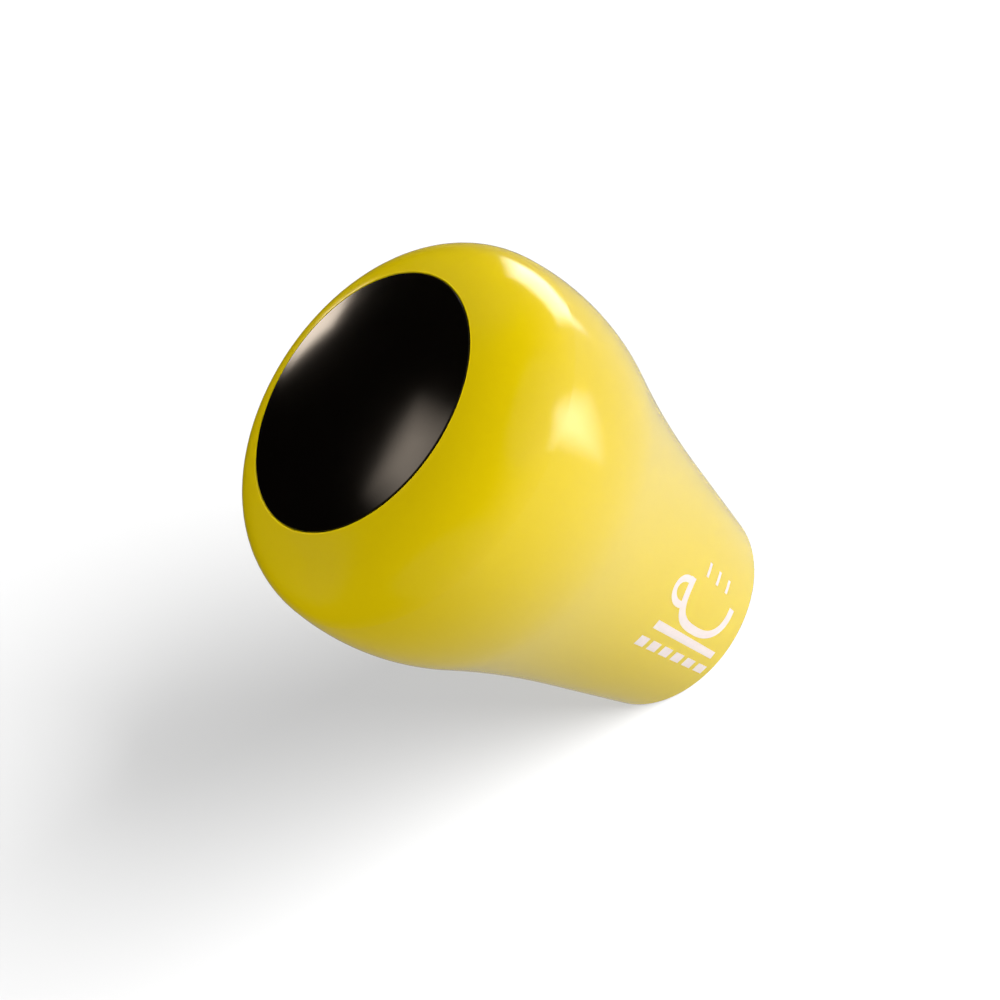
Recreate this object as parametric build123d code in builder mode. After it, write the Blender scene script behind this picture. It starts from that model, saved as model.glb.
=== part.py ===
from build123d import *
import os
from math import acos, asin, cos, degrees, radians, sin, sqrt

# Handle of an espresso tamper, in millimetres. It stands on its neck: the origin is the
# centre of the neck's end face, and +Z runs up the axis, through the bulb, to the cap.
# The grip is a turned, coated aluminium bulb. A hexagon-flanged steel bush drops into it
# from the top and holds the tamper base's stud, under a spring washer and a retaining
# ring. A push-fit cap, sealed by two O-rings, closes the top flush with the bulb.

# Grip, outside
BODY_HEIGHT = 52.0
BULB_RADIUS = 22.5
LIP_RADIUS = 15.0
NECK_RADIUS = 12.5
NECK_TAPER = 13.0  # degrees between the neck's side and the axis
WAIST_ARC = 120.0  # hollow arc between the neck and the bulb
BULGE_ARC = 31.0  # arc of the widest part
SHOULDER_ARC = 9.5  # tight arc from the widest part over to the lip
SHOULDER_START = 7.5  # degrees above the widest circle where the shoulder arc begins
NECK_ROUND = 0.5
LIP_BREAK = 0.15
BORE_CHAMFER = 0.5

# Grip, inside, from the neck upwards
SHELF_HEIGHT = 18.0  # the bush's flange rests here
FLANGE_HEIGHT = 4.0
WASHER_SPACE = 1.0
RING_BORE = 10.0  # radius of the bore that the retaining ring snaps into
CAP_BORE = 12.05
CAP_BORE_BOTTOM = 38.0
SEAT_DEPTH = 2.0  # the cap's dome sits this deep in the lip

# Threaded bush
BUSH_RADIUS = 6.5
BUSH_RECESS = 0.5
BUSH_CHAMFER = 0.4
THREAD_RADIUS = 4.1  # root of an M8 x 1.25 thread, as a plain wall
THREAD_CHAMFER = 0.6
FLANGE_FLATS = 17.0
BUSH_FIT = 0.03  # radial gap of the barrel in its bore
FLANGE_FIT = 0.05  # gap at each flat

# Spring washer, bowed about the Y axis
WASHER_OUTER = 9.6
WASHER_INNER = 7.2
WASHER_THICKNESS = 0.4

# Retaining ring for a 20 mm bore
RING_THICKNESS = 1.0
GROOVE_WIDTH = 1.1
GROOVE_RADIUS = 10.5
RING_OUTER = 10.47
RING_INNER = 8.6
RING_OFFSET = 0.35  # makes the ring narrower towards its lugs
GAP_DIRECTION = 270.0  # degrees round the axis from +X
LUG_RADIUS = 1.9
LUG_CIRCLE = 8.5
LUG_ANGLE = 17.0  # degrees each side of the gap
EYE_RADIUS = 0.9
RING_GAP = 2.4

# Cap
CAP_FIT = 0.05  # radial gap of the plug and of the dome
PLUG_LENGTH = 9.0
PLUG_POCKET_RADIUS = 6.0
PLUG_POCKET_DEPTH = 3.5
PLUG_CHAMFER = 0.6
DOME_EDGE_ROUND = 0.12
RING_CORD = 1.4  # O-ring section, as squeezed in its groove
O_RING_GAP = 0.02  # to the bore and to the groove's floor
O_RING_GROOVE_WIDTH = 1.9
O_RING_INSET = 2.2  # from each end of the plug to the nearer O-ring's middle
SCREW_RADIUS = 1.5
SCREW_LENGTH = 8.0
SCREW_HEAD_RADIUS = 3.0
COUNTERSINK_ANGLE = 90.0
SCREW_SLACK = 0.15  # radial, in the plug
SCREW_THREAD_GAP = 0.03  # radial, in the dome
SCREW_TIP_SPACE = 0.3
HEX_KEY_FLATS = 2.0
HEX_KEY_DEPTH = 1.1

# Heights that follow from them
FLANGE_TOP = SHELF_HEIGHT + FLANGE_HEIGHT
GROOVE_BOTTOM = FLANGE_TOP + WASHER_SPACE
RING_BOTTOM = GROOVE_BOTTOM + (GROOVE_WIDTH - RING_THICKNESS) / 2
SEAT_HEIGHT = BODY_HEIGHT - SEAT_DEPTH
PLUG_BOTTOM = SEAT_HEIGHT - PLUG_LENGTH
SCREW_HEAD_FACE = PLUG_BOTTOM + PLUG_POCKET_DEPTH
PLUG_RADIUS = CAP_BORE - CAP_FIT
DOME_RADIUS = LIP_RADIUS - CAP_FIT

# Arc centres of the grip's outline, in (radius, height), worked down from the lip
shoulder_centre_r = BULB_RADIUS - BULGE_ARC + (BULGE_ARC - SHOULDER_ARC) * cos(radians(SHOULDER_START))
lip_angle = acos((LIP_RADIUS - shoulder_centre_r) / SHOULDER_ARC)
shoulder_centre = Vector(shoulder_centre_r, BODY_HEIGHT - SHOULDER_ARC * sin(lip_angle))
shoulder_start = Vector(cos(radians(SHOULDER_START)), sin(radians(SHOULDER_START)))
bulge_centre = shoulder_centre - shoulder_start * (BULGE_ARC - SHOULDER_ARC)

# The waist arc touches the neck's straight side and, from outside, the bulge arc: its
# centre is WAIST_ARC out from the side, and both radii away from the bulge's centre.
neck_edge = Vector(NECK_RADIUS, 0)
side = Vector(sin(radians(NECK_TAPER)), cos(radians(NECK_TAPER)))
side_normal = Vector(side.Y, -side.X)
reach = neck_edge + side_normal * WAIST_ARC - bulge_centre
along = reach.dot(side)
side_length = -along - sqrt(along**2 - reach.dot(reach) + (WAIST_ARC + BULGE_ARC) ** 2)
waist_start = neck_edge + side * side_length
waist_centre = waist_start + side_normal * WAIST_ARC
waist_to_bulge = (bulge_centre - waist_centre).normalized()
waist_lean = degrees(asin(waist_to_bulge.Y))
waist_turn = waist_lean - NECK_TAPER
bulge_turn = waist_lean + SHOULDER_START
shoulder_turn = degrees(lip_angle) - SHOULDER_START

# The dome carries the shoulder's slope on, so that no step shows at the lip
lip_slope = radians(90) - lip_angle
DOME_ARC = LIP_RADIUS / sin(lip_slope)
DOME_TOP = BODY_HEIGHT + DOME_ARC * (1 - cos(lip_slope))


def write_part(part, name):
    """Label a finished piece and write its STEP file."""
    part.label = name
    export_step(part, f"parts/{name}.step")


os.makedirs("parts", exist_ok=True)

# Grip: the turned bulb, then its bores from the neck up to the lip
with BuildPart() as grip_body:
    with BuildSketch(Plane.XZ):
        with BuildLine():
            Polyline((LIP_RADIUS, BODY_HEIGHT), (0, BODY_HEIGHT), (0, 0), neck_edge)
            Line(neck_edge, waist_start)
            waist = JernArc(waist_start, side, WAIST_ARC, -waist_turn)
            bulge = JernArc(waist @ 1, waist % 1, BULGE_ARC, bulge_turn)
            JernArc(bulge @ 1, bulge % 1, SHOULDER_ARC, shoulder_turn)
        make_face()
    revolve(axis=Axis.Z)
    fillet(grip_body.edges().group_by(Axis.Z)[0], NECK_ROUND)

    with BuildSketch(Plane.XY):
        Circle(BUSH_RADIUS + BUSH_FIT)
    extrude(amount=BODY_HEIGHT, mode=Mode.SUBTRACT)
    with BuildSketch(Plane.XY.offset(SHELF_HEIGHT)):
        RegularPolygon(FLANGE_FLATS / 2 + FLANGE_FIT, side_count=6, major_radius=False)
    extrude(amount=BODY_HEIGHT, mode=Mode.SUBTRACT)
    with BuildSketch(Plane.XY.offset(FLANGE_TOP)):
        Circle(RING_BORE)
    extrude(amount=BODY_HEIGHT, mode=Mode.SUBTRACT)
    with BuildSketch(Plane.XY.offset(GROOVE_BOTTOM)):
        Circle(GROOVE_RADIUS)
    extrude(amount=GROOVE_WIDTH, mode=Mode.SUBTRACT)
    with BuildSketch(Plane.XY.offset(CAP_BORE_BOTTOM)):
        Circle(CAP_BORE)
    extrude(amount=BODY_HEIGHT, mode=Mode.SUBTRACT)
    with BuildSketch(Plane.XY.offset(SEAT_HEIGHT)):
        Circle(LIP_RADIUS)
    extrude(amount=BODY_HEIGHT, mode=Mode.SUBTRACT)

    circles = grip_body.edges().filter_by(GeomType.CIRCLE)
    chamfer(circles.group_by(Axis.Z)[-1], LIP_BREAK)
    bore_mouth = circles.group_by(Axis.Z)[0].sort_by(Edge.length)[0]
    chamfer(bore_mouth, BORE_CHAMFER)
    cap_bore_mouth = circles.filter_by_position(Axis.Z, SEAT_HEIGHT, SEAT_HEIGHT).sort_by(Edge.length)[0]
    chamfer(cap_bore_mouth, BORE_CHAMFER)
write_part(grip_body.part, "grip_body")

# Bush: a barrel under a hexagon flange, threaded right through
with BuildPart() as threaded_bush:
    with BuildSketch(Plane.XY.offset(BUSH_RECESS)):
        Circle(BUSH_RADIUS)
    extrude(amount=SHELF_HEIGHT - BUSH_RECESS)
    with BuildSketch(Plane.XY.offset(SHELF_HEIGHT)):
        RegularPolygon(FLANGE_FLATS / 2, side_count=6, major_radius=False)
    extrude(amount=FLANGE_HEIGHT)
    chamfer(threaded_bush.edges().group_by(Axis.Z)[0], BUSH_CHAMFER)
    chamfer(threaded_bush.edges().group_by(Axis.Z)[-1], BUSH_CHAMFER)
    with Locations((0, 0, FLANGE_TOP)):
        Hole(THREAD_RADIUS)
    bore_ends = threaded_bush.edges().filter_by(GeomType.CIRCLE)
    bore_ends = bore_ends.filter_by(lambda edge: edge.radius < THREAD_RADIUS + BUSH_CHAMFER)
    chamfer(bore_ends, THREAD_CHAMFER)
write_part(threaded_bush.part, "threaded_bush")

# Spring washer: a ring cut from a strip bowed about Y, high at its two ends
washer_rise = WASHER_SPACE - WASHER_THICKNESS
bow_radius = (WASHER_OUTER**2 + washer_rise**2) / (2 * washer_rise)
with BuildPart() as spring_washer:
    with BuildSketch(Plane.XZ):
        with Locations((0, FLANGE_TOP + bow_radius)):
            Circle(bow_radius)
            Circle(bow_radius - WASHER_THICKNESS, mode=Mode.SUBTRACT)
    extrude(amount=WASHER_OUTER, both=True)
    with BuildSketch(Plane.XY.offset(FLANGE_TOP)):
        Circle(WASHER_OUTER)
        Circle(WASHER_INNER, mode=Mode.SUBTRACT)
    extrude(amount=WASHER_SPACE, mode=Mode.INTERSECT)
write_part(spring_washer.part, "spring_washer")

# Retaining ring: an open ring with two lugs, each with an eye for the pliers
with BuildPart() as retaining_ring:
    with BuildSketch(Plane.XY.offset(RING_BOTTOM)):
        Circle(RING_OUTER)
        with Locations((0, -RING_OFFSET)):
            Circle(RING_INNER, mode=Mode.SUBTRACT)
        with PolarLocations(LUG_CIRCLE, 2, GAP_DIRECTION - LUG_ANGLE, 2 * LUG_ANGLE, endpoint=True):
            Circle(LUG_RADIUS)
        with PolarLocations(LUG_CIRCLE, 2, GAP_DIRECTION - LUG_ANGLE, 2 * LUG_ANGLE, endpoint=True):
            Circle(EYE_RADIUS, mode=Mode.SUBTRACT)
        with Locations((0, -RING_OUTER)):
            Rectangle(RING_GAP, RING_OUTER, mode=Mode.SUBTRACT)
        Circle(RING_OUTER, mode=Mode.INTERSECT)
    extrude(amount=RING_THICKNESS)
write_part(retaining_ring.part, "retaining_ring")

# Cap plug: a short piston with two O-ring grooves and a pocket for the screw's head
o_ring_heights = {
    "lower_o_ring": PLUG_BOTTOM + O_RING_INSET,
    "upper_o_ring": SEAT_HEIGHT - O_RING_INSET,
}
o_ring_centre = CAP_BORE - O_RING_GAP - RING_CORD / 2
o_ring_groove_radius = o_ring_centre - RING_CORD / 2 - O_RING_GAP
with BuildPart() as cap_plug:
    with BuildSketch(Plane.XY.offset(PLUG_BOTTOM)):
        Circle(PLUG_RADIUS)
    extrude(amount=PLUG_LENGTH)
    chamfer(cap_plug.edges().group_by(Axis.Z)[0], PLUG_CHAMFER)
    for height in o_ring_heights.values():
        with BuildSketch(Plane.XY.offset(height)):
            Circle(PLUG_RADIUS)
            Circle(o_ring_groove_radius, mode=Mode.SUBTRACT)
        extrude(amount=O_RING_GROOVE_WIDTH / 2, both=True, mode=Mode.SUBTRACT)
    with BuildSketch(Plane.XY.offset(PLUG_BOTTOM)):
        Circle(PLUG_POCKET_RADIUS)
    extrude(amount=PLUG_POCKET_DEPTH, mode=Mode.SUBTRACT)
    with Locations(Plane.XY.offset(SCREW_HEAD_FACE).rotated((180, 0, 0))):
        CounterSinkHole(
            SCREW_RADIUS + SCREW_SLACK,
            SCREW_HEAD_RADIUS + SCREW_SLACK,
            counter_sink_angle=COUNTERSINK_ANGLE,
        )
write_part(cap_plug.part, "cap_plug")

# O-rings
for name, height in o_ring_heights.items():
    with BuildPart() as o_ring:
        with BuildSketch(Plane.XZ):
            with Locations((o_ring_centre, height)):
                Circle(RING_CORD / 2)
        revolve(axis=Axis.Z)
    write_part(o_ring.part, name)

# Dome: the visible top of the cap, a flat-bottomed lens
dome_edge = (DOME_RADIUS, DOME_TOP - DOME_ARC + sqrt(DOME_ARC**2 - DOME_RADIUS**2))
with BuildPart() as cap_dome:
    with BuildSketch(Plane.XZ) as dome_section:
        with BuildLine():
            Polyline((0, DOME_TOP), (0, SEAT_HEIGHT), (DOME_RADIUS, SEAT_HEIGHT), dome_edge)
            RadiusArc(dome_edge, (0, DOME_TOP), -DOME_ARC)
        make_face()
        fillet(dome_section.vertices().group_by(Axis.X)[-1], DOME_EDGE_ROUND)
    revolve(axis=Axis.Z)
    with BuildSketch(Plane.XY.offset(SEAT_HEIGHT)):
        Circle(SCREW_RADIUS + SCREW_THREAD_GAP)
    extrude(amount=SCREW_HEAD_FACE + SCREW_LENGTH - SEAT_HEIGHT + SCREW_TIP_SPACE, mode=Mode.SUBTRACT)
write_part(cap_dome.part, "cap_dome")

# Countersunk screw that joins the dome to the plug, head down, with a hexagon socket
with BuildPart() as cap_screw:
    with BuildSketch(Plane.XZ):
        with BuildLine():
            Polyline(
                (0, SCREW_HEAD_FACE),
                (SCREW_HEAD_RADIUS, SCREW_HEAD_FACE),
                (SCREW_RADIUS, SCREW_HEAD_FACE + SCREW_HEAD_RADIUS - SCREW_RADIUS),
                (SCREW_RADIUS, SCREW_HEAD_FACE + SCREW_LENGTH),
                (0, SCREW_HEAD_FACE + SCREW_LENGTH),
                close=True,
            )
        make_face()
    revolve(axis=Axis.Z)
    with BuildSketch(Plane.XY.offset(SCREW_HEAD_FACE)):
        RegularPolygon(HEX_KEY_FLATS / 2, side_count=6, major_radius=False)
    extrude(amount=HEX_KEY_DEPTH, mode=Mode.SUBTRACT)
write_part(cap_screw.part, "cap_screw")
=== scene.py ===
from math import cos, pi, radians, sin, tan

import bmesh
import bpy
from mathutils import Matrix, Vector
from mathutils.bvhtree import BVHTree


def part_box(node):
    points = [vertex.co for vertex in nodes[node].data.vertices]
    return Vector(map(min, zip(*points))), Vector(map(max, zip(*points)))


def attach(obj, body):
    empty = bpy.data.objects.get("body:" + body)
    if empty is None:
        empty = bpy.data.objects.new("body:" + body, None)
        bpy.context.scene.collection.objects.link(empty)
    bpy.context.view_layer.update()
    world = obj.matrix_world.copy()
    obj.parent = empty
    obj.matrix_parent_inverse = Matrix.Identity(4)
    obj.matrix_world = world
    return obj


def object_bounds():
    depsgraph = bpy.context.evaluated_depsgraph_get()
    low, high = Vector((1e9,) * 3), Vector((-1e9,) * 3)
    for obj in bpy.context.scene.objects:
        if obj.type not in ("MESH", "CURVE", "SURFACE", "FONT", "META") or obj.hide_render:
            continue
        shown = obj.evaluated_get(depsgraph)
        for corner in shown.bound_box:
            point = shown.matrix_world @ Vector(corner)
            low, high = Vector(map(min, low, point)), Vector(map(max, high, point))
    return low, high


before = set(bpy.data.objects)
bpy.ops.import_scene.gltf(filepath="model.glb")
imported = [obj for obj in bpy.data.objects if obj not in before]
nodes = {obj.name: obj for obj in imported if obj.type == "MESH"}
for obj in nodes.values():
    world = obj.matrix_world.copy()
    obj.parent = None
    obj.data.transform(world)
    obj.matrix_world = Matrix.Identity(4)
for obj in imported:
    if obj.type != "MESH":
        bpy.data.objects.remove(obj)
cad_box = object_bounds()
MM = 0.001

grip_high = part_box("grip_body")[1]
bush_low, bush_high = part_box("threaded_bush")
dome_low, dome_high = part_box("cap_dome")
CENTRE = (cad_box[0] + cad_box[1]) / 2
DOME_GAP = 0.05 * MM  # between the dome's edge and the grip's lip
LIP_RADIUS = dome_high.x + DOME_GAP
PAINTED_GLINT_WIDTH = 0.3 * MM  # a painted highlight, a brighter yellow in the colour, reaches this far out from the lip's edge


# Camera: above and in front of the upright handle, rolled so that the bulb points up and left
CAMERA_LENS = 100  # mm
CAMERA_SENSOR = 36  # mm
CAMERA_ELEVATION = radians(38.96)
CAMERA_ROLL = radians(56.55)  # the handle leans this far to the left in the picture
CAMERA_DISTANCE = 286.7 * MM
CAMERA_AIM = Vector((-0.6, -11.2, 38.2)) * MM
CAMERA_CLIP = (10 * MM, 20)  # nearest and farthest distance that it sees, in metres


def make_camera():
    back = Vector((0, -cos(CAMERA_ELEVATION), sin(CAMERA_ELEVATION)))
    level = (-back).to_track_quat("-Z", "Y").to_matrix().to_4x4()
    camera = bpy.data.objects.new("camera", bpy.data.cameras.new("camera"))
    camera.data.lens = CAMERA_LENS
    camera.data.sensor_width = CAMERA_SENSOR
    camera.data.clip_start, camera.data.clip_end = CAMERA_CLIP
    stand = Matrix.Translation(CAMERA_AIM + back * CAMERA_DISTANCE)
    camera.matrix_world = stand @ level @ Matrix.Rotation(-CAMERA_ROLL, 4, "Z")
    bpy.context.collection.objects.link(camera)
    bpy.context.scene.camera = camera


make_camera()
bpy.context.scene.view_settings.view_transform = "Standard"


# Materials

def new_material(name):
    """A material with a Principled shader, and the shader itself."""
    material = bpy.data.materials.new(name)
    material.use_nodes = True
    return material, material.node_tree.nodes["Principled BSDF"]


def add(material, kind, inputs=(), **settings):
    """One node, with its plain settings and its inputs, each a value or another node's output."""
    node = material.node_tree.nodes.new(kind)
    for key, value in settings.items():
        setattr(node, key, value)
    for key, value in dict(inputs).items():
        if isinstance(value, bpy.types.NodeSocket):
            material.node_tree.links.new(value, node.inputs[key])
        else:
            node.inputs[key].default_value = value
    return node


def place(material):
    """The point's place on the object, in metres, which doesn't move with the body it rides on."""
    return add(material, "ShaderNodeTexCoord").outputs["Object"]


def noise(material, scale, detail):
    """A noise pattern between 0 and 1 with this many cells to the metre."""
    inputs = {"Vector": place(material), "Scale": scale, "Detail": detail}
    return add(material, "ShaderNodeTexNoise", inputs).outputs["Fac"]


def spread(material, value, low, high, start=0.0, end=1.0):
    """A value that runs from start to end stretched to run from low to high, and no further."""
    inputs = {"Value": value, "From Min": start, "From Max": end, "To Min": low, "To Max": high}
    return add(material, "ShaderNodeMapRange", inputs).outputs["Result"]


def polar(material):
    """The point's distance from the handle's axis and its height."""
    point = add(material, "ShaderNodeSeparateXYZ", {"Vector": place(material)}).outputs
    flat = add(material, "ShaderNodeCombineXYZ", {"X": point["X"], "Y": point["Y"]}).outputs["Vector"]
    radius = add(material, "ShaderNodeVectorMath", {0: flat}, operation="LENGTH").outputs["Value"]
    return radius, point["Z"]


def mix_colour(material, factor, first, second):
    """The first colour where the factor is 0 and the second where it is 1."""
    made = add(material, "ShaderNodeMix", data_type="RGBA")
    material.node_tree.links.new(factor, made.inputs["Factor"])
    for socket, colour in zip(("A", "B"), (first, second)):
        target = next(i for i in made.inputs if i.name == socket and i.type == "RGBA")
        if isinstance(colour, bpy.types.NodeSocket):
            material.node_tree.links.new(colour, target)
        else:
            target.default_value = (*colour, 1)
    return next(o for o in made.outputs if o.type == "RGBA")


def bump(material, height, distance):
    """A normal for a surface that rises by this distance, in metres, where the height is 1."""
    inputs = {"Height": height, "Strength": 1.0, "Distance": distance}
    return add(material, "ShaderNodeBump", inputs).outputs["Normal"]


def wire(material, shader, **inputs):
    """Give the shader's sockets, named in lower case, a value or a link."""
    for key, value in inputs.items():
        socket = shader.inputs[key.replace("_", " ").title().replace("Ior", "IOR")]
        if isinstance(value, bpy.types.NodeSocket):
            material.node_tree.links.new(value, socket)
        else:
            socket.default_value = value


def coating_material():
    """Gloss coating: a saturated yellow with a trace of orange peel, and a painted highlight at the lip: a
    thin ring of brighter yellow in the colour where the edge catches light.
    """
    material, shader = new_material("grip_coating")
    tone = mix_colour(material, noise(material, 60, 3), (0.80, 0.675, 0.002), (0.77, 0.645, 0.002))
    radius, height = polar(material)
    # Painted highlight: just outside the lip's edge and at the top, the base colour turns a brighter
    # yellow. This paints in the light that the edge catches.
    painted_glint_ring = spread(material, radius, 1, 0, LIP_RADIUS + PAINTED_GLINT_WIDTH / 3, LIP_RADIUS + PAINTED_GLINT_WIDTH)
    above = spread(material, height, 0, 1, dome_low.z, dome_low.z + PAINTED_GLINT_WIDTH)
    painted_lip_glint = add(material, "ShaderNodeMath", {0: painted_glint_ring, 1: above}, operation="MULTIPLY").outputs["Value"]
    tone = mix_colour(material, painted_lip_glint, tone, (1.0, 0.86, 0.004))
    peel = bump(material, noise(material, 900, 2), 0.0012 * MM)
    rough = spread(material, noise(material, 260, 4), 0.10, 0.14)
    wire(material, shader, base_color=tone, roughness=rough, normal=peel)
    return material


def dome_material():
    """Satin black plastic with a fine moulded grain."""
    material, shader = new_material("black_acetal")
    tone = mix_colour(material, noise(material, 180, 3), (0.0012, 0.0010, 0.0008), (0.0022, 0.0018, 0.0015))
    grain = bump(material, noise(material, 9000, 2), 0.0006 * MM)
    rough = spread(material, noise(material, 400, 4), 0.11, 0.15)
    wire(material, shader, base_color=tone, roughness=rough, normal=grain)
    return material


WAVE_RATE = 20  # the wave texture's own factor on its scale
STAIN = 0.82  # share of the metal's colour that is left where it is stained
ROUGHNESS_SPREAD = 0.06


def turned_metal(name, colour, roughness, groove_pitch):
    """Lathe-turned metal: fine tool marks run round the axis, on walls and on faces alike."""
    material, shader = new_material(name)
    radius, height = polar(material)
    along = add(material, "ShaderNodeMath", {0: radius, 1: height}, operation="ADD").outputs["Value"]
    cut = add(material, "ShaderNodeCombineXYZ", {"X": along}).outputs["Vector"]
    grooves = add(
        material,
        "ShaderNodeTexWave",
        {"Vector": cut, "Scale": 2 * pi / groove_pitch / WAVE_RATE, "Distortion": 0.8, "Detail": 2.0},
    ).outputs["Fac"]
    stained = mix_colour(material, noise(material, 500, 4), colour, [STAIN * c for c in colour])
    mottle = noise(material, 1500, 3)
    rough = spread(material, mottle, roughness - ROUGHNESS_SPREAD, roughness + ROUGHNESS_SPREAD)
    marks = bump(material, grooves, 0.0015 * MM)
    wire(material, shader, base_color=stained, metallic=1.0, roughness=rough, normal=marks)
    return material


def spring_steel_material():
    """Dark, oiled spring steel with a stamped edge's uneven tone."""
    material, shader = new_material("spring_steel")
    tone = mix_colour(material, noise(material, 900, 4), (0.06, 0.055, 0.05), (0.14, 0.13, 0.12))
    rough = spread(material, noise(material, 2200, 3), 0.32, 0.5)
    wire(
        material, shader, base_color=tone, metallic=0.9, roughness=rough,
        normal=bump(material, noise(material, 5000, 2), 0.001 * MM),
    )
    return material


def rubber_material():
    """Matte black nitrile rubber."""
    material, shader = new_material("nitrile_rubber")
    tone = mix_colour(material, noise(material, 1200, 3), (0.010, 0.010, 0.010), (0.022, 0.022, 0.021))
    rough = spread(material, noise(material, 3000, 3), 0.5, 0.68)
    wire(
        material, shader, base_color=tone, roughness=rough,
        normal=bump(material, noise(material, 7000, 2), 0.0015 * MM),
    )
    return material


def ink_material():
    """White pad-printed ink, a little uneven."""
    material, shader = new_material("white_ink")
    tone = mix_colour(material, noise(material, 1500, 4), (0.86, 0.85, 0.88), (0.92, 0.91, 0.93))
    rough = spread(material, noise(material, 2500, 3), 0.3, 0.42)
    wire(
        material, shader, base_color=tone, roughness=rough,
        normal=bump(material, noise(material, 6000, 2), 0.001 * MM),
    )
    return material


coating = coating_material()
steel = turned_metal("stainless_steel", (0.46, 0.45, 0.435), 0.3, 0.25 * MM)
aluminium = turned_metal("turned_aluminium", (0.52, 0.52, 0.53), 0.34, 0.2 * MM)
spring_steel = spring_steel_material()
rubber = rubber_material()
ink = ink_material()
materials = {
    "grip_body": coating,
    "cap_dome": dome_material(),
    "threaded_bush": steel,
    "cap_screw": steel,
    "cap_plug": aluminium,
    "spring_washer": spring_steel,
    "retaining_ring": spring_steel,
    "lower_o_ring": rubber,
    "upper_o_ring": rubber,
}
for name, material in materials.items():
    nodes[name].data.materials.clear()
    nodes[name].data.materials.append(material)


IN_A_BORE = -0.3  # a bore's faces look towards the axis, so their outward part is less than this
LIES_FLAT = 0.99  # a seat's or an end face's normal runs along the axis by more than this
LOOKS_UP = 0.5
LIP_EDGE_DEPTH = 0.2 * MM  # the lip's broken edge, which is coated, is no deeper than this


def bare_inner_faces(body):
    """The bores, the seats and the neck's end face are machined after coating, so they show bare metal."""
    body.data.materials.append(aluminium)
    for face in body.data.polygons:
        outward = Vector((face.center.x, face.center.y, 0)).normalized().dot(face.normal)
        lip_edge = face.normal.z > LOOKS_UP and grip_high.z - face.center.z < LIP_EDGE_DEPTH
        machined = outward < IN_A_BORE or abs(face.normal.z) > LIES_FLAT
        face.material_index = int(machined and not lip_edge)


bare_inner_faces(nodes["grip_body"])


# Pieces that only the visual model has

def new_piece(name, vertices, faces, material, body):
    """A mesh piece that rides on a body and takes a material slot of the record."""
    mesh = bpy.data.meshes.new(name)
    mesh.from_pydata(vertices, [], faces)
    mesh.validate()
    cleaner = bmesh.new()
    cleaner.from_mesh(mesh)
    bmesh.ops.recalc_face_normals(cleaner, faces=cleaner.faces)
    cleaner.to_mesh(mesh)
    cleaner.free()
    mesh.materials.append(material)
    piece = bpy.data.objects.new(name, mesh)
    bpy.context.collection.objects.link(piece)
    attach(piece, body)
    return piece


def grid_faces(rows, columns, closed_rows=False):
    """Quads between neighbouring rows of points; each row may close on itself."""
    faces = []
    for i in range(rows - 1):
        for j in range(columns if closed_rows else columns - 1):
            k = (j + 1) % columns
            faces.append((i * columns + j, i * columns + k, (i + 1) * columns + k, (i + 1) * columns + j))
    return faces


THREAD_PITCH = 1.25 * MM  # M8 coarse
THREAD_ROOT = 4.12 * MM  # sunk just into the bush's wall
THREAD_CREST = 3.4 * MM
THREAD_STEPS = 48  # points to a turn
THREAD_INSET = 0.7 * MM  # from the bush's ends
THREAD_RUN_OUT = 0.75  # turns over which the ridge rises at either end
THREAD_STUB = 0.02  # share of its height that the ridge has at its very ends
RIDGE_HALF_WIDTH = 0.44  # of a pitch, at the root
RIDGE_TAPER = 0.36  # of a pitch, by which the half width is less at the crest


def make_thread():
    """The bush's inner thread: a ridge that winds up its bore and runs out at both ends."""
    low = bush_low.z + THREAD_INSET
    turns = (bush_high.z - THREAD_INSET - low) / THREAD_PITCH
    count = int(turns * THREAD_STEPS)
    vertices = []
    for i in range(count + 1):
        turn = i / THREAD_STEPS
        rise = min(1, turn / THREAD_RUN_OUT, (count / THREAD_STEPS - turn) / THREAD_RUN_OUT)
        crest = THREAD_ROOT + (THREAD_CREST - THREAD_ROOT) * (THREAD_STUB + (1 - THREAD_STUB) * rise)
        crest_half_width = RIDGE_HALF_WIDTH - RIDGE_TAPER * rise
        angle = 2 * pi * turn
        middle = low + THREAD_PITCH * turn
        section = (
            (THREAD_ROOT, RIDGE_HALF_WIDTH),
            (crest, crest_half_width),
            (crest, -crest_half_width),
            (THREAD_ROOT, -RIDGE_HALF_WIDTH),
        )
        for radius, offset in section:
            height = middle + offset * THREAD_PITCH
            vertices.append((radius * cos(angle), radius * sin(angle), height))
    faces = grid_faces(count + 1, 4, closed_rows=True)
    last = 4 * count
    faces += [(0, 1, 2, 3), (last + 3, last + 2, last + 1, last)]
    return new_piece("bush_thread", vertices, faces, steel, "grip")


bush_thread = make_thread()

INK_THICKNESS = 0.02 * MM
INK_SINK = 0.03 * MM  # the band's sides reach this far under the coating
PRINT_AZIMUTH = radians(9)
PRINT_RADIUS = 14.4 * MM  # the neck's, at the print
LINE = 1.0 * MM
EAR_LINE = 0.75 * LINE
STEAM_LINE = 0.5 * LINE
CUP_MIDDLE = 8.1 * MM  # heights run along the cup's width, because the print lies on its side
CUP_HALF_WIDTH = 4.7 * MM
CUP_RIM = 1.5 * MM  # round the neck from the print's middle
CUP_DEPTH = 4.6 * MM
CUP_SQUARENESS = 0.72  # below 1 the cup's outline is fuller than an ellipse
CUP_STEPS = 48
EAR_MIDDLE = (13.3 * MM, -0.3 * MM)  # its height, and its place round the neck
EAR_REACH = 1.9 * MM
EAR_HALF_HEIGHT = 1.35 * MM
EAR_TURN = 1.15 * pi
EAR_STEPS = 24
SAUCER = (1.9 * MM, 14.4 * MM, -4.5 * MM)  # from, to, and its place round the neck
SAUCER_STEPS = 16
STEAM = (2.5 * MM, 4.1 * MM)  # from and to, round the neck
STEAM_PITCH = 2.3 * MM
BAR_COUNT = 6
BAR_LENGTH = 1.65 * MM
BAR_PITCH = 2.4 * MM
BAR_PLACE = -6.75 * MM  # round the neck
BAR_LINE = 1.2 * MM


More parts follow.
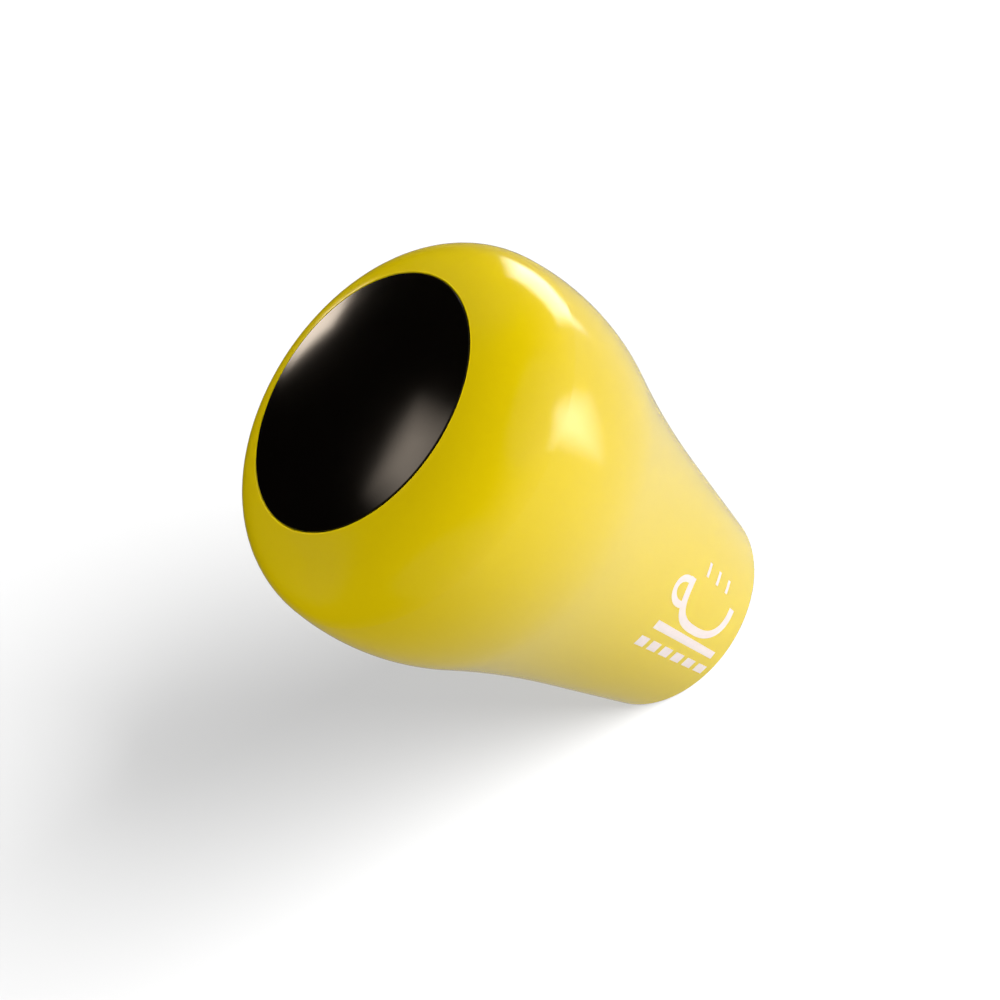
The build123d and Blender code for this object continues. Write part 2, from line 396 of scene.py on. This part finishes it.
def surface_finder(body):
    """The body's outer surface, asked by height and by distance round it from a given azimuth."""
    mesh = bmesh.new()
    mesh.from_mesh(body.data)
    tree = BVHTree.FromBMesh(mesh)
    mesh.free()
    reach = 2 * grip_high.x

    def find(height, azimuth):
        outward = Vector((sin(azimuth), -cos(azimuth), 0))
        spot, normal, _, _ = tree.ray_cast(outward * reach + Vector((0, 0, height)), -outward)
        return spot, normal

    return find


find_surface = surface_finder(nodes["grip_body"])


def stroke(points, width):
    """A band of ink along points on the neck, each a height and a distance round the neck from the
    print's middle."""
    vertices = []
    count = len(points)
    for i, (height, way_round) in enumerate(points):
        before, after = points[max(i - 1, 0)], points[min(i + 1, count - 1)]
        ahead = Vector((after[0] - before[0], after[1] - before[1])).normalized()
        side = Vector((-ahead.y, ahead.x)) * width / 2
        section = (
            (-1, -INK_SINK), (-1, INK_THICKNESS), (0, INK_THICKNESS),
            (1, INK_THICKNESS), (1, -INK_SINK), (0, -INK_SINK),
        )
        for share, lift in section:
            azimuth = PRINT_AZIMUTH + (way_round + side.y * share) / PRINT_RADIUS
            spot, normal = find_surface(height + side.x * share, azimuth)
            vertices.append(spot + normal * lift)
    faces = grid_faces(count, 6, closed_rows=True)
    last = 6 * (count - 1)
    faces += [tuple(range(6)), tuple(last + j for j in reversed(range(6)))]
    return vertices, faces


def straight(start, end, steps=8):
    """Evenly spaced points between two points."""
    return [tuple(a + (b - a) * i / steps for a, b in zip(start, end)) for i in range(steps + 1)]


def make_print():
    """A plain cup and saucer with steam over it, and a row of short bars under it."""
    bowl = []
    for i in range(CUP_STEPS + 1):
        across, down = cos(pi * i / CUP_STEPS), sin(pi * i / CUP_STEPS)
        width = CUP_HALF_WIDTH * abs(across) ** CUP_SQUARENESS * (1 if across > 0 else -1)
        bowl.append((CUP_MIDDLE + width, CUP_RIM - CUP_DEPTH * max(down, 0) ** CUP_SQUARENESS))
    ear = []
    for i in range(EAR_STEPS + 1):
        turn = EAR_TURN * i / EAR_STEPS
        ear.append((EAR_MIDDLE[0] + EAR_REACH * sin(turn), EAR_MIDDLE[1] + EAR_HALF_HEIGHT * cos(turn)))
    saucer = straight((SAUCER[0], SAUCER[2]), (SAUCER[1], SAUCER[2]), SAUCER_STEPS)
    strokes = [stroke(bowl, LINE), stroke(ear, EAR_LINE), stroke(saucer, LINE)]
    for i in (-1, 0, 1):
        height = CUP_MIDDLE + STEAM_PITCH * i
        strokes.append(stroke(straight((height, STEAM[0]), (height, STEAM[1])), STEAM_LINE))
    for i in range(BAR_COUNT):
        middle = CUP_MIDDLE + BAR_PITCH * (i - (BAR_COUNT - 1) / 2)
        bar = straight((middle - BAR_LENGTH / 2, BAR_PLACE), (middle + BAR_LENGTH / 2, BAR_PLACE))
        strokes.append(stroke(bar, BAR_LINE))
    vertices = []
    faces = []
    for points, quads in strokes:
        faces += [tuple(len(vertices) + corner for corner in quad) for quad in quads]
        vertices += points
    return new_piece("neck_print", vertices, faces, ink, "grip")


neck_print = make_print()


# Stage: a pale floor that curves up into a wall, and soft lights

FLOOR_RADIUS = 1.6
WALL_HEIGHT = 1.6
SWEEP_RADIUS = 0.5
SWEEP_STEPS = 12
FLOOR_GAP = 0.02 * MM  # below the neck's end
FLOOR_GREY = 0.12
FLOOR_GLOW = 0.55


def lathe(name, outline, segments=96):
    """A mesh turned about the Z axis from a list of (radius, height) points."""
    mesh = bmesh.new()
    rings = []
    for radius, height in outline:
        if radius == 0:
            rings.append([mesh.verts.new((0, 0, height))])
            continue
        angles = [2 * pi * i / segments for i in range(segments)]
        rings.append([mesh.verts.new((radius * cos(a), radius * sin(a), height)) for a in angles])
    for inner, outer in zip(rings, rings[1:]):
        for i in range(segments):
            j = (i + 1) % segments
            corners = [inner[i % len(inner)], outer[i], outer[j], inner[j % len(inner)]]
            mesh.faces.new(list(dict.fromkeys(corners)))
    made = bpy.data.objects.new(name, bpy.data.meshes.new(name))
    mesh.to_mesh(made.data)
    mesh.free()
    for face in made.data.polygons:
        face.use_smooth = True
    bpy.context.collection.objects.link(made)
    return made


def make_floor():
    """A round floor that curves up into a wall. It glows a little, and throws no light on the handle."""
    angles = [pi / 2 * i / SWEEP_STEPS for i in range(SWEEP_STEPS + 1)]
    sweep = [(FLOOR_RADIUS + SWEEP_RADIUS * sin(a), SWEEP_RADIUS * (1 - cos(a))) for a in angles]
    outline = [(0, 0), *sweep, (FLOOR_RADIUS + SWEEP_RADIUS, SWEEP_RADIUS + WALL_HEIGHT)]
    floor = lathe("floor", outline)
    floor.location.z = cad_box[0].z - FLOOR_GAP
    material, shader = new_material("floor")
    wire(
        material, shader, base_color=(FLOOR_GREY, FLOOR_GREY, FLOOR_GREY, 1), roughness=0.9,
        specular_ior_level=0.0, emission_color=(1, 1, 1, 1), emission_strength=FLOOR_GLOW,
    )
    floor.data.materials.append(material)
    floor.visible_glossy = False
    floor.visible_diffuse = False
    return floor


floor = make_floor()

only_floor = bpy.data.collections.new("only_floor")
only_floor.objects.link(floor)
only_handle = bpy.data.collections.new("only_handle")
for piece in (*nodes.values(), bush_thread, neck_print):
    only_handle.objects.link(piece)


def direction(azimuth, elevation):
    """Unit vector from the handle; azimuth 0 is towards -Y and 90 towards +X, in degrees."""
    a, e = radians(azimuth), radians(elevation)
    return Vector((sin(a) * cos(e), -cos(a) * cos(e), sin(e)))


LIGHT_DISTANCE = 3
PANES = 5  # to a softbox


def aim_light(light, azimuth, elevation, turn=0.0):
    """Put a light in the sky of the handle, facing it, and let it light the handle only."""
    away = direction(azimuth, elevation)
    stand = Matrix.Translation(CENTRE + away * LIGHT_DISTANCE)
    face = away.to_track_quat("Z", "Y").to_matrix().to_4x4()
    light.matrix_world = stand @ face @ Matrix.Rotation(radians(turn), 4, "Z")
    light.visible_camera = False
    light.light_linking.receiver_collection = only_handle
    light.light_linking.blocker_collection = only_handle
    bpy.context.collection.objects.link(light)


def softbox(name, azimuth, elevation, wide, tall, radiance, colour=(1, 1, 1), turn=0.0, soft=0.15):
    """A rectangular light that shows in the gloss, wide and tall degrees across as the handle sees it.
    It is a stack of panes, so that its edge falls off over this share of its size."""
    for layer in range(PANES):
        scale = 1 + soft * (2 * layer / (PANES - 1) - 1)
        data = bpy.data.lights.new(f"{name}_{layer}", "AREA")
        data.shape = "RECTANGLE"
        data.size = 2 * LIGHT_DISTANCE * tan(radians(wide * scale / 2))
        data.size_y = 2 * LIGHT_DISTANCE * tan(radians(tall * scale / 2))
        data.energy = radiance / PANES * pi * data.size * data.size_y
        data.color = colour
        light = bpy.data.objects.new(data.name, data)
        light.visible_diffuse = False
        aim_light(light, azimuth, elevation, turn)


SUN_SPREAD = 60  # degrees across
STUDIO_LEVEL = 3.1
KEY_AZIMUTH = 45  # degrees
STUDIO_WHITE = (1, 0.88, 0.8)  # a warm white, the same for every sun


def soft_sun(name, azimuth, elevation, share):
    """A broad, diffuse source in the studio's warm white, with a share of its level. It doesn't show
    in the gloss."""
    data = bpy.data.lights.new(name, "SUN")
    data.angle = radians(SUN_SPREAD)
    data.energy = share * STUDIO_LEVEL
    data.color = STUDIO_WHITE
    light = bpy.data.objects.new(name, data)
    light.visible_glossy = False
    aim_light(light, azimuth, elevation)


WARM = (1, 0.85, 0.7)
softbox("back_right_box", 118, -13, 32, 24, 6, turn=35, soft=0.2)
softbox("side_box", 50, -26, 17, 26, 6, turn=30, soft=0.5)
softbox("top_left_box", -175, 60, 12, 9, 4, WARM, soft=0.45)
softbox("back_left_box", 175, 9, 9, 9, 6, WARM, turn=45, soft=0.15)
soft_sun("key_sun", KEY_AZIMUTH, 10, 1)
soft_sun("fill_sun", -45, 0, 0.5)
soft_sun("back_right_sun", 135, 20, 0.65)
soft_sun("back_left_sun", -135, 20, 0.65)
soft_sun("bounce_sun", 0, -80, 0.25)

FLOOR_SUN_AZIMUTH = 38
FLOOR_SUN_ELEVATION = 18
FLOOR_SUN_ENERGY = 45
FLOOR_SUN_SPREAD = 34  # degrees across


def make_floor_sun():
    """A low, soft sun that lights only the floor, so that the handle throws its shadow there."""
    data = bpy.data.lights.new("floor_sun", "SUN")
    data.energy = FLOOR_SUN_ENERGY
    data.angle = radians(FLOOR_SUN_SPREAD)
    sun = bpy.data.objects.new("floor_sun", data)
    towards = direction(FLOOR_SUN_AZIMUTH, FLOOR_SUN_ELEVATION)
    sun.matrix_world = towards.to_track_quat("Z", "Y").to_matrix().to_4x4()
    sun.light_linking.receiver_collection = only_floor
    sun.light_linking.blocker_collection = only_handle
    bpy.context.collection.objects.link(sun)


make_floor_sun()

GLOW_ELEVATION = -60
GLOW_REACH = 100  # degrees from its middle to where it has faded away
GLOW_RADIANCE = 2


def make_world():
    """One broad, white glow that fades outwards. In the gloss it stands in for the pale floor on the
    key light's side."""
    world = bpy.data.worlds.new("studio")
    bpy.context.scene.world = world
    world.use_nodes = True
    world.cycles_visibility.diffuse = False
    tree = world.node_tree
    where = tree.nodes.new("ShaderNodeTexCoord").outputs["Generated"]
    along = tree.nodes.new("ShaderNodeVectorMath")
    along.operation = "DOT_PRODUCT"
    along.inputs[1].default_value = direction(KEY_AZIMUTH, GLOW_ELEVATION)
    tree.links.new(where, along.inputs[0])
    angle = tree.nodes.new("ShaderNodeMath")
    angle.operation = "ARCCOSINE"
    tree.links.new(along.outputs["Value"], angle.inputs[0])
    fade = tree.nodes.new("ShaderNodeMapRange")
    fade.interpolation_type = "SMOOTHSTEP"
    for socket, value in zip(fade.inputs[1:5], (0, radians(GLOW_REACH), GLOW_RADIANCE, 0)):
        socket.default_value = value
    tree.links.new(angle.outputs[0], fade.inputs["Value"])
    background = tree.nodes["Background"]
    background.inputs["Color"].default_value = (1, 1, 1, 1)
    tree.links.new(fade.outputs["Result"], background.inputs["Strength"])


make_world()
